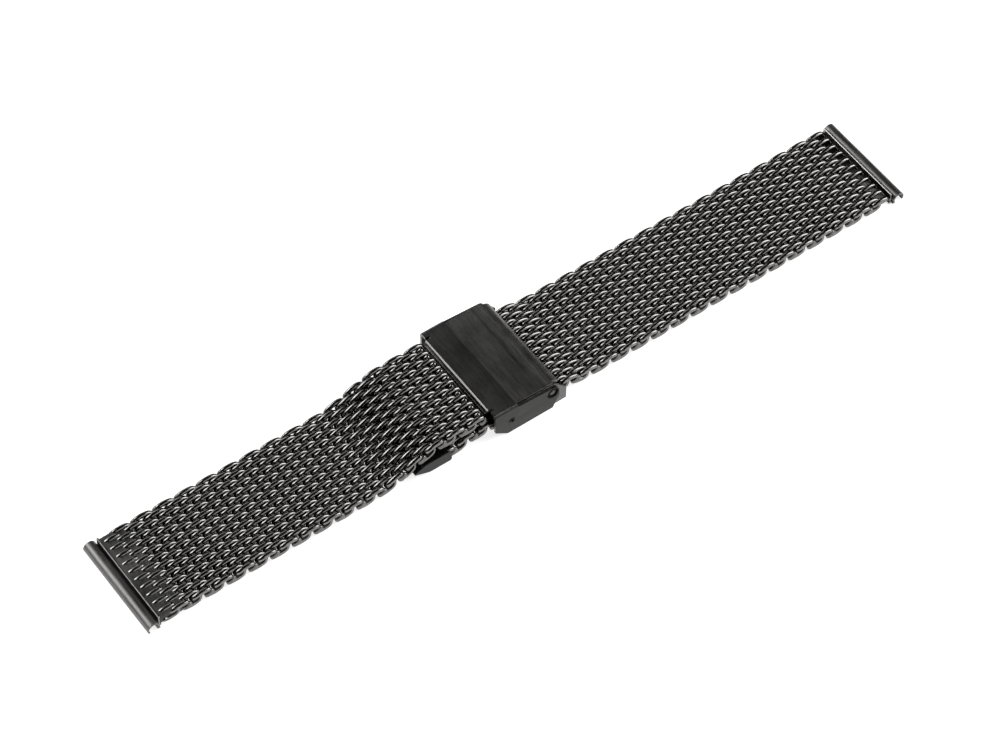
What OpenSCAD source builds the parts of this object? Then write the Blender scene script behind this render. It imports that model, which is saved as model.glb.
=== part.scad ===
/* [Mesh] */
// Width of the mesh over its edge loops
mesh_w = 22; // [18:0.5:24]
// Thickness of the mesh
mesh_t = 2.8; // [2.6:0.1:3]
// Diameter of the coiled wire
wire_d = 0.9; // [0.7:0.05:0.95]
// Distance across the strap from one turn of a coil to the next
turn_pitch = 2.04; // [2.02:0.02:2.3]
// Distance along the strap from one coil to the next
row_pitch = 2.35; // [2.2:0.01:2.45]
// Width of the straight spine that ties the turns of a coil together
spine_w = 0.36; // [0.3:0.02:0.5]
// Height of that spine
spine_h = 1.3; // [0.8:0.1:1.8]
// Gap between the end of a turn and the spine of the next coil
turn_gap = 0.1; // [0.08:0.01:0.14]
// Height of the welded leaf on each edge
leaf_h = 1.7; // [1.2:0.1:2]
// Least bulge of the welded leaf beyond the last turn
leaf_min = 0.3; // [0.2:0.05:0.5]

/* [Straps] */
// Coils in each bending length of the straps
segment_rows = 4; // [3:1:4]
// Coils that are pressed flat and joined to the hook
root_rows = 2; // [1:1:2]
// Coils in the sliding length that the clasp rides on
core_rows = 11; // [11:1:13]
// Coils in the loose tail under the short strap
tail_rows = 2; // [2:1:3]
// Level length of the short strap before it falls from the clasp
fall_start = 10.4; // [9:0.2:12]
// Length over which the short strap falls to the ground
fall_len = 14.9; // [13:0.5:18]
// Length over which the long strap falls to the ground, on each side of the clasp
drop_len = 6; // [5:0.5:7]
// Level length of the long strap behind the clasp
drop_start = 0.6; // [0.2:0.2:1.2]
// Level length of the tail in front of the clasp
tail_level = 3.5; // [3:0.1:3.8]
// Distance from the front of the clasp to the end of the tail mesh
tail_mesh = 10.9; // [10.5:0.1:11.5]

/* [Tail cap] */
// Distance from the front of the clasp to the tip of the tail
tail_reach = 17.3; // [16:0.1:18]
// Length of the sloping underside of the tip
tip_slope = 3.3; // [2.5:0.1:4]
// Thickness of the tip
tip_t = 0.45; // [0.3:0.05:0.7]
// Length of the mesh that the cap folds over
cap_grip = 1; // [0.6:0.1:1.5]
// Coils that are pressed flat at the cap
cap_rows = 1; // [1:1:2]

/* [End channels] */
// Inside radius of the channel for the spring bar
bar_r = 0.95; // [0.75:0.05:1]
// Sheet thickness of the channels and their clips
sheet_t = 0.35; // [0.25:0.05:0.4]
// Angle of the gap along the underside of a channel
channel_gap = 100; // [90:5:130]
// Drop of the channel's axis below the middle of the mesh
channel_drop = 0.45; // [0:0.05:0.5]
// Width of the valley between a channel and its clip
valley_w = 0.05; // [0.05:0.05:0.5]
// Coils that are pressed flat at each channel
end_rows = 2; // [1:1:3]
// Length of mesh that the lips of a clip cover
clip_lip = 0.2; // [0.1:0.1:0.8]
// Gap left for solder between a folded sheet and the pressed mesh in it
solder_gap = 0.02; // [0.01:0.01:0.05]

/* [Clasp base] */
// Length of the clasp from the cover's front edge to its rear
clasp_len = 16.6; // [16:0.1:17]
// Thickness of the base plate
base_t = 0.8; // [0.7:0.05:1]
// Thickness of the base's side walls
wall_t = 0.45; // [0.4:0.05:0.6]
// Gap between the side walls and the cover's sheet over them
wall_room = 0.35; // [0.3:0.05:0.5]
// Distance from the front of the cover to the base plate
base_set = 3.2; // [3:0.1:3.6]
// Distance from the front of the cover to the side walls
wall_set = 1.4; // [1:0.1:2]
// Height of the side walls at the rear of the clasp
rear_h = 3.2; // [2.8:0.1:4]
// Gap between the mesh and the walls or the plate that guide it
guide_gap = 0.15; // [0.1:0.01:0.2]
// Gap between the two layers of mesh at the clasp
layer_gap = 0.45; // [0.4:0.05:0.5]

/* [Cover] */
// Sheet thickness of the cover
cover_t = 0.6; // [0.5:0.05:0.7]
// Thickness of the cover's side arms
arm_t = 0.5; // [0.4:0.05:0.6]
// Height of the top of the flat front part
cover_h = 7.15; // [7.1:0.05:7.4]
// Length of the flat front part
flat_len = 5; // [4.5:0.1:5.5]
// Running gap between the arms and the side walls
arm_gap = 0.1; // [0.08:0.01:0.12]
// Height of the arms' lower edge above the ground
arm_lift = 0.12; // [0.1:0.01:0.15]
// Rise of the slanted lower front corner of each arm
corner_h = 2.1; // [1.5:0.1:2.5]
// Length of that slanted corner
corner_len = 2.8; // [2:0.1:3.2]
// Length of the lip that folds down at the front
lip_w = 20; // [15:0.5:20.5]
// Drop of the lip below the cover's sheet
lip_drop = 0.12; // [0.08:0.01:0.14]
// Length of the lip in front of the cover
lip_len = 0.4; // [0.3:0.02:0.45]
// Width of the relief notch at each end of the lip
notch_w = 0.5; // [0.3:0.1:0.6]
// Depth of the relief notch
notch_len = 0.9; // [0.6:0.1:1.2]
// Radius of the snap dimple in each arm
dimple_r = 0.35; // [0.25:0.05:0.45]
// Distance from the front of the cover to the dimple
dimple_set = 3.7; // [3:0.1:4]
// Height of the dimple above the ground
dimple_z = 3.5; // [3:0.1:4.5]

/* [Panel] */
// Thickness of the panel that is let in behind the flat front of the cover
panel_t = 0.3; // [0.25:0.05:0.3]
// Depth of the panel's top below the flat front
panel_drop = 0.3; // [0.25:0.05:0.35]
// Thickness of the sheet under the panel
bed_t = 0.25; // [0.2:0.05:0.25]
// Length of that sheet under the flat front
bed_lap = 1; // [0.6:0.1:1.5]
// Gap between the panel and the inside of the side walls
panel_gap = 0.1; // [0.08:0.01:0.2]
// Angle above the level at which the rolled end of the panel stops
roll_end = 34; // [33:1:45]

/* [Pins] */
// Radius of the hinge pin
pin_r = 0.6; // [0.5:0.05:0.65]
// Running clearance of the hinge pin and the hook
run_gap = 0.06; // [0.04:0.01:0.08]
// Distance from the front of the cover to the hinge pin
pin_set = 13.1; // [12.9:0.05:13.2]
// Height of the hinge pin above the ground
pin_z = 4.5; // [4.45:0.05:4.6]
// Radius of the rounded ear of each arm round the pin
ear_r = 1.45; // [1.2:0.05:1.5]
// Widening of the hole's mouth round the end of the pin
sink = 0.25; // [0.15:0.05:0.3]

/* [Hook] */
// Gap between the sliding mesh and the hook over it
hook_rise = 0.29; // [0.2:0.01:0.4]
// Gap between the hook and the cover's sheet over it
hook_room = 0.39; // [0.35:0.01:0.5]
// Distance from the front of the cover to the cross bar
hook_set = 5; // [4.8:0.1:5.4]
// Sheet thickness of the hook
hook_t = 0.4; // [0.3:0.05:0.4]
// Width of the hook
hook_w = 19; // [12:0.5:20]
// Gap between the lip of the cover and the pressed mesh
mouth_gap = 0.25; // [0.2:0.05:0.35]

/* [Lock flap] */
// Length of the lock flap from its pin to its free edge
flap_len = 6.2; // [5.5:0.1:6.4]
// Width of the lock flap
flap_w = 14; // [8:0.5:16]
// Distance from the front of the cover to the flap's pin
flap_set = 11.4; // [11:0.1:11.6]
// Radius of the flap's pin
flap_pin_r = 0.22; // [0.18:0.01:0.25]
// Length of the flap's pin that sits in the plate on each side
flap_seat = 1; // [0.6:0.1:1.4]
// Gap round the flap in its window
flap_gap = 0.25; // [0.2:0.05:0.3]
// Radius of the nail notch at the free edge of the flap
nail_r = 1.1; // [0.8:0.1:1.2]
// Height of the flap's teeth above the base plate
tooth_h = 0.1; // [0.05:0.01:0.1]
// Number of teeth across the flap
teeth = 6; // [3:1:8]
// Share of the flap's width that the teeth take up
tooth_share = 0.5; // [0.4:0.05:0.6]

/* [Hidden] */
short_segments = 7;
long_segments = 8;
$fn = 48;
steel = [0.23, 0.23, 0.22];
dark_steel = [0.16, 0.16, 0.16];
bright_steel = [0.42, 0.42, 0.41];
// A cut passes this far beyond the faces that it opens
past = 1;
// Neighbouring solids of one piece run this far into each other
merge = 0.05;
// Straight steps along the top of the tail cap
cap_steps = 8;

// Turns across a coil, and the bulge that is left for the welded leaf
turns = floor((mesh_w - wire_d - 2 * leaf_min) / turn_pitch) + 1;
turns_w = (turns - 1) * turn_pitch + wire_d;
leaf_bulge = (mesh_w - turns_w) / 2;

// Thickness of the mesh where it is pressed flat to fit in a folded sheet
fold_in = mesh_t - 2 * sheet_t;
pressed_t = fold_in - 2 * solder_gap;

// Heights of the mesh centre: on the ground, through the clasp and above it
ground_z = mesh_t / 2;
core_z = base_t + guide_gap + mesh_t / 2;
core_top = core_z + mesh_t / 2;
upper_z = core_z + mesh_t + layer_gap;

// Inner faces, from the middle of the strap outwards
wall_in = mesh_w / 2 + guide_gap;
wall_out = wall_in + wall_t;
arm_in = wall_out + arm_gap;
arm_out = arm_in + arm_t;
panel_half = wall_in - panel_gap;

// The hook and its cross bar fill the height between the sliding mesh and the cover
hook_out = (cover_h - cover_t - hook_room - core_top - hook_rise) / 2;
hook_in = hook_out - hook_t;
hook_bar_r = hook_in - run_gap;
hook_z = core_top + hook_rise + hook_out;
hook_top = hook_z + hook_out;
wall_h = cover_h - cover_t - wall_room;

// Heights of the panel and its bed, and the radii of its rolled end round the hinge pin
panel_top = cover_h - panel_drop;
bed_top = panel_top - panel_t;
bed_z = bed_top - bed_t;
roll_out = panel_top - pin_z;
roll_in = bed_z - pin_z;

// Length of a turn, and how far it reaches past its coil's hinge line
turn_len = 2 * row_pitch - spine_w - 2 * turn_gap;
turn_reach = (turn_len - row_pitch) / 2;

// An S-shaped step from 0 to 1
function ease(t) = let (u = min(1, max(0, t))) u * u * (3 - 2 * u);

// Height of each strap's centre at a distance x behind the cover's front edge
function short_z(x) =
    ground_z + (upper_z - ground_z) * ease((x + fall_start + fall_len) / fall_len);
function long_z(x) = ground_z + (core_z - ground_z) * (
    ease((x + tail_level + drop_len) / drop_len)
    - ease((x - clasp_len - drop_start) / drop_len));

// Places of the hinge lines between coils, one coil after another
short_start = -lip_len - mouth_gap - turn_reach;
function short_x(k) = k == 0 ? short_start : let (
    x = short_x(k - 1),
    fall = short_z(x) - short_z(x - row_pitch)
) x - row_pitch * cos(atan2(fall, row_pitch));
function long_x(k) = k == 0 ? -tail_mesh : let (
    x = long_x(k - 1),
    rise = long_z(x + row_pitch) - long_z(x)
) x + row_pitch * cos(atan2(rise, row_pitch));

short_rows = root_rows + short_segments * segment_rows;
long_rows = tail_rows + core_rows + long_segments * segment_rows;
short_end = short_x(short_rows);
long_end = long_x(long_rows);
channel_out = bar_r + sheet_t;
channel_x = sheet_t + valley_w + channel_out;

// The origin lies in the middle of the bracelet, on the ground
origin_x = -(short_end + long_end) / 2;
module at_origin() {
    translate([origin_x, 0, 0]) children();
}

// A rectangle whose lower left corner is at x, z
module square_at(x, z, width, height) {
    translate([x, z]) square([width, height]);
}

// Side outline of one flattened turn of wire
module turn_outline(t) {
    square([turn_len - t, t], center = true);
    for (side = [-1, 1])
        translate([side * (turn_len - t) / 2, 0]) circle(d = t);
}

// Welded leaf that closes the ends of two coils on one edge
module edge_leaf(side) {
    half = turn_len / 2 - turn_gap;
    leaf_r = (half * half + leaf_bulge * leaf_bulge) / (2 * leaf_bulge);
    linear_extrude(leaf_h, center = true) intersection() {
        translate([0, side * (mesh_w / 2 - leaf_r)]) circle(r = leaf_r);
        translate([0, side * (mesh_w / 2 - leaf_bulge / 2 - merge / 2)])
            square([2 * half, leaf_bulge + merge], center = true);
    }
}

// One flattened coil: every other coil has one turn fewer and nests in its neighbours
module coil(inner, t) {
    count = inner ? turns - 1 : turns;
    width = (count - 1) * turn_pitch + wire_d;
    for (turn = [0 : count - 1])
        translate([0, (turn - (count - 1) / 2) * turn_pitch + wire_d / 2, 0])
            rotate([90, 0, 0]) linear_extrude(wire_d) turn_outline(t);
    cube([spine_w, width, min(spine_h, t)], center = true);
    if (!inner)
        for (side = [-1, 1]) edge_leaf(side);
}

// Put a coil between two hinge lines
module coil_between(x0, z0, x1, z1) {
    translate([(x0 + x1) / 2, 0, (z0 + z1) / 2])
        rotate([0, -atan2(z1 - z0, x1 - x0), 0]) children();
}

// Coils first to last of each strap, counted from the clasp or from the tail
module short_coils(first, last) {
    for (k = [first : last]) {
        x1 = short_x(k);
        x0 = short_x(k + 1);
        pressed = k < root_rows || k >= short_rows - end_rows;
        coil_between(x0, short_z(x0), x1, short_z(x1))
            coil(k % 2 == 1, pressed ? pressed_t : mesh_t);
    }
}
module long_coils(first, last) {
    for (k = [first : last]) {
        x0 = long_x(k);
        x1 = long_x(k + 1);
        pressed = k < cap_rows || k >= long_rows - end_rows;
        coil_between(x0, long_z(x0), x1, long_z(x1))
            coil(k % 2 == 1, pressed ? pressed_t : mesh_t);
    }
}

// Bending length n of each strap
module short_mesh(n) {
    first = root_rows + (n - 1) * segment_rows;
    color(steel) at_origin() short_coils(first, first + segment_rows - 1);
}
module long_mesh(n) {
    first = tail_rows + core_rows + (n - 1) * segment_rows;
    color(steel) at_origin() long_coils(first, first + segment_rows - 1);
}
module core_mesh() {
    color(steel) at_origin() long_coils(tail_rows, tail_rows + core_rows - 1);
}
module tail_mesh() {
    color(steel) at_origin() long_coils(0, tail_rows - 1);
}

// Pressed coils at the hook, tied by a brazed plate in their middle
module hook_end_mesh() {
    plate_end = short_x(root_rows) + turn_reach + turn_gap;
    front = -lip_len - mouth_gap;
    color(steel) at_origin() {
        short_coils(0, root_rows - 1);
        translate([plate_end, -hook_w / 2, hook_top - hook_t])
            cube([front - plate_end, hook_w, hook_t]);
    }
}

// Sheet hook that runs from the pressed mesh round the cross bar
module strap_hook() {
    front = -lip_len - mouth_gap;
    color(dark_steel) at_origin() translate([0, hook_w / 2, 0]) rotate([90, 0, 0])
        linear_extrude(hook_w) {
            square_at(front, hook_top - hook_t, hook_set - front, hook_t);
            translate([hook_set, hook_z]) intersection() {
                difference() {
                    circle(r = hook_out);
                    circle(r = hook_in);
                }
                square_at(0, -hook_out, hook_out, 2 * hook_out);
            }
        }
}

// Curled channel for a spring bar, with the strip that ties it to its clip
module channel() {
    tie_z = -channel_out * cos(channel_gap / 2);
    color(dark_steel) translate([0, mesh_w / 2, -channel_drop]) rotate([90, 0, 0])
        linear_extrude(mesh_w) difference() {
            union() {
                translate([channel_x, 0]) circle(r = channel_out);
                square_at(sheet_t, tie_z, channel_x - sheet_t, sheet_t);
            }
            translate([channel_x, 0]) circle(r = bar_r);
            translate([channel_x, 0]) polygon([
                [0, 0],
                for (side = [-1, 1])
                    2 * channel_out * [side * sin(channel_gap / 2), -cos(channel_gap / 2)]
            ]);
        }
}

// Folded clip over the pressed end of the mesh
module clip() {
    color(bright_steel) translate([0, mesh_w / 2, 0]) rotate([90, 0, 0])
        linear_extrude(mesh_w) difference() {
            square_at(-clip_lip, -mesh_t / 2, clip_lip + sheet_t, mesh_t);
            square_at(-clip_lip - past, -fold_in / 2, clip_lip + past, fold_in);
        }
}

// Ends of the straps: x runs outwards from the last turns of the mesh
module at_short_end() {
    at_origin() translate([short_end - turn_reach, 0, ground_z])
        mirror([1, 0, 0]) children();
}
module at_long_end() {
    at_origin() translate([long_end + turn_reach, 0, ground_z]) children();
}

// Folded cap on the loose tail: its top follows the underside of the short strap
module tail_cap() {
    back = -tail_mesh + cap_grip;
    slot_x = -tail_mesh - turn_reach - solder_gap;
    function cap_top(x) = min(mesh_t, short_z(x) - mesh_t / 2 - layer_gap);
    step = (tail_reach + back) / cap_steps;
    top = [for (i = [0 : cap_steps]) let (x = -tail_reach + i * step) [x, cap_top(x)]];
    tip_z = cap_top(-tail_reach) - tip_t;
    color(dark_steel) at_origin() translate([0, mesh_w / 2, 0]) rotate([90, 0, 0])
        linear_extrude(mesh_w) difference() {
            polygon([
                [back, 0],
                [-tail_reach + tip_slope, 0],
                [-tail_reach, tip_z],
                each top
            ]);
            square_at(slot_x, ground_z - fold_in / 2, back - slot_x + past, fold_in);
        }
}

// Base: a plate with a window for the flap and two side walls that carry the pins
window_x = flap_set - flap_len - flap_gap;
window_end = flap_set + base_t / 2 + flap_gap;
module clasp_base() {
    color(dark_steel) at_origin() difference() {
        union() {
            translate([base_set, -wall_out, 0])
                cube([clasp_len - base_set, 2 * wall_out, base_t]);
            for (side = [-1, 1])
                translate([0, side * (wall_in + wall_t / 2) + wall_t / 2, 0])
                    rotate([90, 0, 0]) linear_extrude(wall_t) wall_outline();
        }
        translate([window_x, -flap_w / 2 - flap_gap, -past])
            cube([window_end - window_x, flap_w + 2 * flap_gap, base_t + 2 * past]);
        translate([window_x, 0, -past]) cylinder(r = nail_r, h = base_t + 2 * past);
        cross_hole(pin_set, pin_z, pin_r);
        cross_hole(hook_set, hook_z, hook_bar_r);
        cross_pin(flap_set, base_t / 2, flap_pin_r, flap_w / 2 + flap_seat);
    }
}

// Side outline of a base wall, round over the hinge pin and lower behind it
module wall_outline() {
    ear = wall_h - pin_z;
    front_z = arm_lift + corner_h;
    square_at(wall_set, front_z, base_set - wall_set + merge, wall_h - front_z);
    square_at(base_set, 0, pin_set - base_set, wall_h);
    translate([pin_set, pin_z]) circle(r = ear);
    polygon([
        [pin_set - merge, 0],
        [clasp_len, 0],
        [clasp_len, rear_h],
        [pin_set + ear * cos(45), pin_z + ear * sin(45)],
        [pin_set - merge, pin_z + ear * sin(45)]
    ]);
}

// A hole right across the clasp
module cross_hole(x, z, r) {
    translate([x, arm_out + past, z]) rotate([90, 0, 0])
        cylinder(r = r, h = 2 * (arm_out + past));
}

// A pin right across the clasp, with its two ends at y = +-half
module cross_pin(x, z, r, half) {
    translate([x, half, z]) rotate([90, 0, 0]) cylinder(r = r, h = 2 * half);
}
module hook_bar() {
    color(bright_steel) at_origin() cross_pin(hook_set, hook_z, hook_bar_r, wall_out);
}
module hinge_pin() {
    color(bright_steel) at_origin() cross_pin(pin_set, pin_z, pin_r, arm_out - sink / 2);
}
module lock_flap_pin() {
    color(bright_steel) at_origin()
        cross_pin(flap_set, base_t / 2, flap_pin_r, flap_w / 2 + flap_seat);
}

// Flap that swings down out of the base plate, with teeth that grip the mesh
module lock_flap() {
    tooth_step = flap_w / teeth;
    first_y = (1 - tooth_share) / 2 * tooth_step - flap_w / 2;
    color(steel) at_origin() difference() {
        union() {
            translate([flap_set - flap_len, -flap_w / 2, 0]) cube([flap_len, flap_w, base_t]);
            cross_pin(flap_set, base_t / 2, base_t / 2, flap_w / 2);
            for (i = [0 : teeth - 1])
                translate([flap_set - 2 * base_t, first_y + i * tooth_step, merge])
                    cube([base_t, tooth_share * tooth_step, base_t + tooth_h - merge]);
        }
        cross_hole(flap_set, base_t / 2, flap_pin_r + run_gap);
    }
}

// Side outline of a cover arm: slanted front corner, rounded ear round the pin
module arm_outline() {
    polygon([
        [0, cover_h - cover_t],
        [0, arm_lift + corner_h],
        [corner_len, arm_lift],
        [pin_set, arm_lift],
        [pin_set + ear_r, pin_z - ear_r],
        [pin_set + ear_r, pin_z],
        [pin_set, pin_z + ear_r],
        [flat_len, cover_h - cover_t]
    ]);
    translate([pin_set, pin_z]) circle(r = ear_r);
    square_at(0, cover_h - cover_t - merge, flat_len, cover_t + merge);
}
// Cover: flat front with a lip, a sheet under the panel and two side arms
module clasp_cover() {
    color(steel) at_origin() difference() {
        union() {
            for (side = [-1, 1])
                translate([0, side * (arm_in + arm_t / 2) + arm_t / 2, 0])
                    rotate([90, 0, 0]) linear_extrude(arm_t) arm_outline();
            translate([0, -arm_in - merge, cover_h - cover_t])
                cube([flat_len, 2 * (arm_in + merge), cover_t]);
            translate([flat_len - bed_lap, -panel_half, bed_z]) {
                cube([pin_set - flat_len + bed_lap, 2 * panel_half, bed_t]);
                cube([bed_lap, 2 * panel_half, cover_h - cover_t + merge - bed_z]);
            }
            translate([0, lip_w / 2, 0]) rotate([90, 0, 0]) linear_extrude(lip_w) {
                lip_z = cover_h - cover_t - lip_drop;
                square_at(-lip_len, lip_z, lip_len + cover_t, lip_drop + merge);
                square_at(-lip_len + cover_t / 2, cover_h - cover_t, lip_len, cover_t);
                square_at(-lip_len, lip_z, cover_t / 2 + merge, cover_t / 2 + lip_drop);
                translate([-lip_len + cover_t / 2, cover_h - cover_t / 2])
                    circle(r = cover_t / 2);
            }
        }
        for (side = [-1, 1]) {
            translate([-lip_len - past, side * (lip_w + notch_w) / 2 - notch_w / 2,
                cover_h - cover_t - lip_drop - past])
                cube([lip_len + past + notch_len, notch_w, cover_t + lip_drop + 2 * past]);
            translate([dimple_set, side * (arm_out + past), dimple_z])
                rotate([90 * side, 0, 0]) cylinder(r = dimple_r, h = past + arm_t / 2);
            translate([pin_set, side * (arm_out - sink), pin_z]) rotate([-90 * side, 0, 0])
                cylinder(r1 = pin_r + run_gap, r2 = pin_r + run_gap + sink, h = sink);
        }
        cross_hole(pin_set, pin_z, pin_r + run_gap);
    }
}

// Plain panel that lies on its bed behind the flat front and rolls down behind the hinge
module cover_panel() {
    color(bright_steel) at_origin() translate([0, panel_half, 0]) rotate([90, 0, 0])
        linear_extrude(2 * panel_half) {
            square_at(flat_len, bed_top, pin_set - flat_len, panel_t);
            translate([pin_set, pin_z]) intersection() {
                difference() {
                    circle(r = roll_out);
                    circle(r = roll_in);
                }
                polygon([
                    [0, 0],
                    2 * roll_out * [cos(roll_end), sin(roll_end)],
                    [2 * roll_out, 2 * roll_out],
                    [0, 2 * roll_out]
                ]);
            }
        }
}

clasp_base();
hook_bar();
hinge_pin();
lock_flap_pin();
lock_flap();
clasp_cover();
cover_panel();
strap_hook();
hook_end_mesh();
short_mesh(1);  // short_mesh_1
short_mesh(2);  // short_mesh_2
short_mesh(3);  // short_mesh_3
short_mesh(4);  // short_mesh_4
short_mesh(5);  // short_mesh_5
short_mesh(6);  // short_mesh_6
short_mesh(7);  // short_mesh_7
at_short_end() clip();  // short_end_clip
at_short_end() channel();  // short_end_channel
core_mesh();
tail_mesh();
tail_cap();
long_mesh(1);  // long_mesh_1
long_mesh(2);  // long_mesh_2
long_mesh(3);  // long_mesh_3
long_mesh(4);  // long_mesh_4
long_mesh(5);  // long_mesh_5
long_mesh(6);  // long_mesh_6
long_mesh(7);  // long_mesh_7
long_mesh(8);  // long_mesh_8
at_long_end() clip();  // long_end_clip
at_long_end() channel();  // long_end_channel
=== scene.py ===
import math

import bpy
import numpy as np
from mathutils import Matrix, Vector


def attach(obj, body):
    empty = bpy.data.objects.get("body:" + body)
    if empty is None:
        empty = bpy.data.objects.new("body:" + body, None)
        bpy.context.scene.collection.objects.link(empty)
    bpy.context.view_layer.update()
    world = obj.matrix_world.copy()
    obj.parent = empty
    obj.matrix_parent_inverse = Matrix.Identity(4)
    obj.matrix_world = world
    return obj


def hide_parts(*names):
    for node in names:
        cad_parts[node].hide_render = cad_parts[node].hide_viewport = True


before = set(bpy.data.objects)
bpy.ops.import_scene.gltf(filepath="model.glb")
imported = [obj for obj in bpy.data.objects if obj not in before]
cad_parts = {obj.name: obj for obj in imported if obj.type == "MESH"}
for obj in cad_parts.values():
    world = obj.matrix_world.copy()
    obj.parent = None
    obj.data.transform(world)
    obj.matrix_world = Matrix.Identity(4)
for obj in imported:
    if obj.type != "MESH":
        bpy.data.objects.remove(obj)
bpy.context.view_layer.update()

MM = 0.001

# Sizes of the part's source, in millimetres and degrees. x runs from the cover's front edge towards
# the long strap, y across the strap and z up from the ground.
MESH_W = 22.0  # width of the mesh
MESH_T = 2.8  # thickness of the mesh
TURN_PITCH = 2.04  # across the strap, from one turn of a coil to the next
ROW_PITCH = 2.35  # along the strap, from one coil to the next
SPINE_W = 0.36  # width of a coil's spine
TURN_GAP = 0.1  # gap between a turn and the spine of the next coil
SEGMENT_ROWS = 4  # coils in each bending length
ROOT_ROWS = 2  # coils joined to the hook
CORE_ROWS = 11  # coils that the clasp rides on
TAIL_ROWS = 2  # coils in the loose tail
CAP_ROWS = 1  # coils pressed flat at the tail cap
END_ROWS = 2  # coils pressed flat at each channel
SHORT_SEGMENTS = 7  # bending lengths of the short strap
LONG_SEGMENTS = 8  # bending lengths of the long strap
FALL_START = 10.4  # level length of the short strap in front of the clasp
FALL_LEN = 14.9  # length over which the short strap falls to the ground
DROP_START = 0.6  # level length of the long strap behind the clasp
DROP_LEN = 6.0  # length over which the long strap falls to the ground
TAIL_LEVEL = 3.5  # level length of the tail in front of the clasp
TAIL_MESH = 10.9  # distance from the clasp to the end of the tail's mesh
TAIL_REACH = 17.3  # distance from the clasp to the tip of the tail cap
TIP_SLOPE = 3.3  # length of the sloping underside of the tip
TIP_T = 0.45  # thickness of the tip
CAP_GRIP = 1.0  # length of the mesh that the cap folds over
BAR_R = 0.95  # inside radius of a channel
SHEET_T = 0.35  # sheet thickness of the channels and clips
CHANNEL_GAP = 100.0  # angle of the gap under a channel
CHANNEL_DROP = 0.45  # drop of a channel's axis below the middle of the mesh
VALLEY_W = 0.05  # width of the valley between a channel and its clip
CLIP_LIP = 0.2  # length of the mesh that the lips of a clip cover
SOLDER_GAP = 0.02  # gap between a folded sheet and the mesh in it
CLASP_LEN = 16.6  # length of the clasp
BASE_T = 0.8  # thickness of the base plate
WALL_T = 0.45  # thickness of the base's side walls
GUIDE_GAP = 0.15  # gap between the mesh and what guides it
LAYER_GAP = 0.45  # gap between the two layers of mesh
COVER_T = 0.6  # sheet thickness of the cover
COVER_H = 7.15  # height of the cover's flat front part
FLAT_LEN = 5.0  # length of that flat part
ARM_T = 0.5  # thickness of the cover's side arms
ARM_GAP = 0.1  # gap between the arms and the side walls
ARM_LIFT = 0.12  # height of the arms' lower edge
CORNER_H = 2.1  # rise of the slanted lower front corner of an arm
CORNER_LEN = 2.8  # length of that corner
LIP_W = 20.0  # width of the lip at the cover's front
LIP_LEN = 0.4  # length of the lip in front of the cover
LIP_DROP = 0.12  # drop of the lip below the cover's sheet
NOTCH_W = 0.5  # width of the notch at each end of the lip
NOTCH_LEN = 0.9  # depth of that notch
DIMPLE_SET = 3.7  # distance from the cover's front to the dimples
DIMPLE_Z = 3.5  # height of the dimples
PANEL_T = 0.3  # thickness of the panel
PANEL_DROP = 0.3  # depth of the panel's top below the flat part
PANEL_GAP = 0.1  # gap between the panel and the side walls
BED_T = 0.25  # thickness of the sheet under the panel
BED_LAP = 1.0  # length of that sheet under the flat part
ROLL_END = 34.0  # angle above the level at which the panel's roll ends
PIN_R = 0.6  # radius of the hinge pin
PIN_SET = 13.1  # distance from the cover's front to the hinge pin
PIN_Z = 4.5  # height of the hinge pin
RUN_GAP = 0.06  # running clearance of the hinge pin
EAR_R = 1.45  # radius of an arm's ear round the pin
HOOK_RISE = 0.29  # gap between the sliding mesh and the hook
HOOK_ROOM = 0.39  # gap between the hook and the cover's sheet
HOOK_T = 0.4  # sheet thickness of the hook
HOOK_W = 19.0  # width of the hook
MOUTH_GAP = 0.25  # gap between the cover's lip and the pressed mesh

# Values worked out from them, as in the part's source
FOLD_IN = MESH_T - 2 * SHEET_T
GROUND_Z = MESH_T / 2
CORE_Z = BASE_T + GUIDE_GAP + MESH_T / 2
CORE_TOP = CORE_Z + MESH_T / 2
UPPER_Z = CORE_Z + MESH_T + LAYER_GAP
WALL_IN = MESH_W / 2 + GUIDE_GAP
ARM_IN = WALL_IN + WALL_T + ARM_GAP
ARM_OUT = ARM_IN + ARM_T
PANEL_HALF = WALL_IN - PANEL_GAP
HOOK_OUT = (COVER_H - COVER_T - HOOK_ROOM - CORE_TOP - HOOK_RISE) / 2
HOOK_TOP = CORE_TOP + HOOK_RISE + 2 * HOOK_OUT
PANEL_TOP = COVER_H - PANEL_DROP
BED_TOP = PANEL_TOP - PANEL_T
BED_Z = BED_TOP - BED_T
TURN_REACH = (2 * ROW_PITCH - SPINE_W - 2 * TURN_GAP - ROW_PITCH) / 2
CHANNEL_OUT = BAR_R + SHEET_T
CHANNEL_X = SHEET_T + VALLEY_W + CHANNEL_OUT


def ease(t):
    """A smooth rise from 0 to 1 as t goes from 0 to 1."""
    u = min(1.0, max(0.0, t))
    return u * u * (3 - 2 * u)


def short_z(x):
    """Height of the middle of the short strap's mesh."""
    return GROUND_Z + (UPPER_Z - GROUND_Z) * ease((x + FALL_START + FALL_LEN) / FALL_LEN)


def long_z(x):
    """Height of the middle of the long strap's mesh."""
    rise = ease((x + TAIL_LEVEL + DROP_LEN) / DROP_LEN)
    fall = ease((x - CLASP_LEN - DROP_START) / DROP_LEN)
    return GROUND_Z + (CORE_Z - GROUND_Z) * (rise - fall)


def hinge_lines(start, count, step, height):
    """Places of the hinge lines between the coils of one strap, one after another."""
    line = [start]
    for _ in range(count):
        x = line[-1]
        climb = height(x + step) - height(x)
        line.append(x + step * math.cos(math.atan2(climb, abs(step))))
    return line


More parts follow.
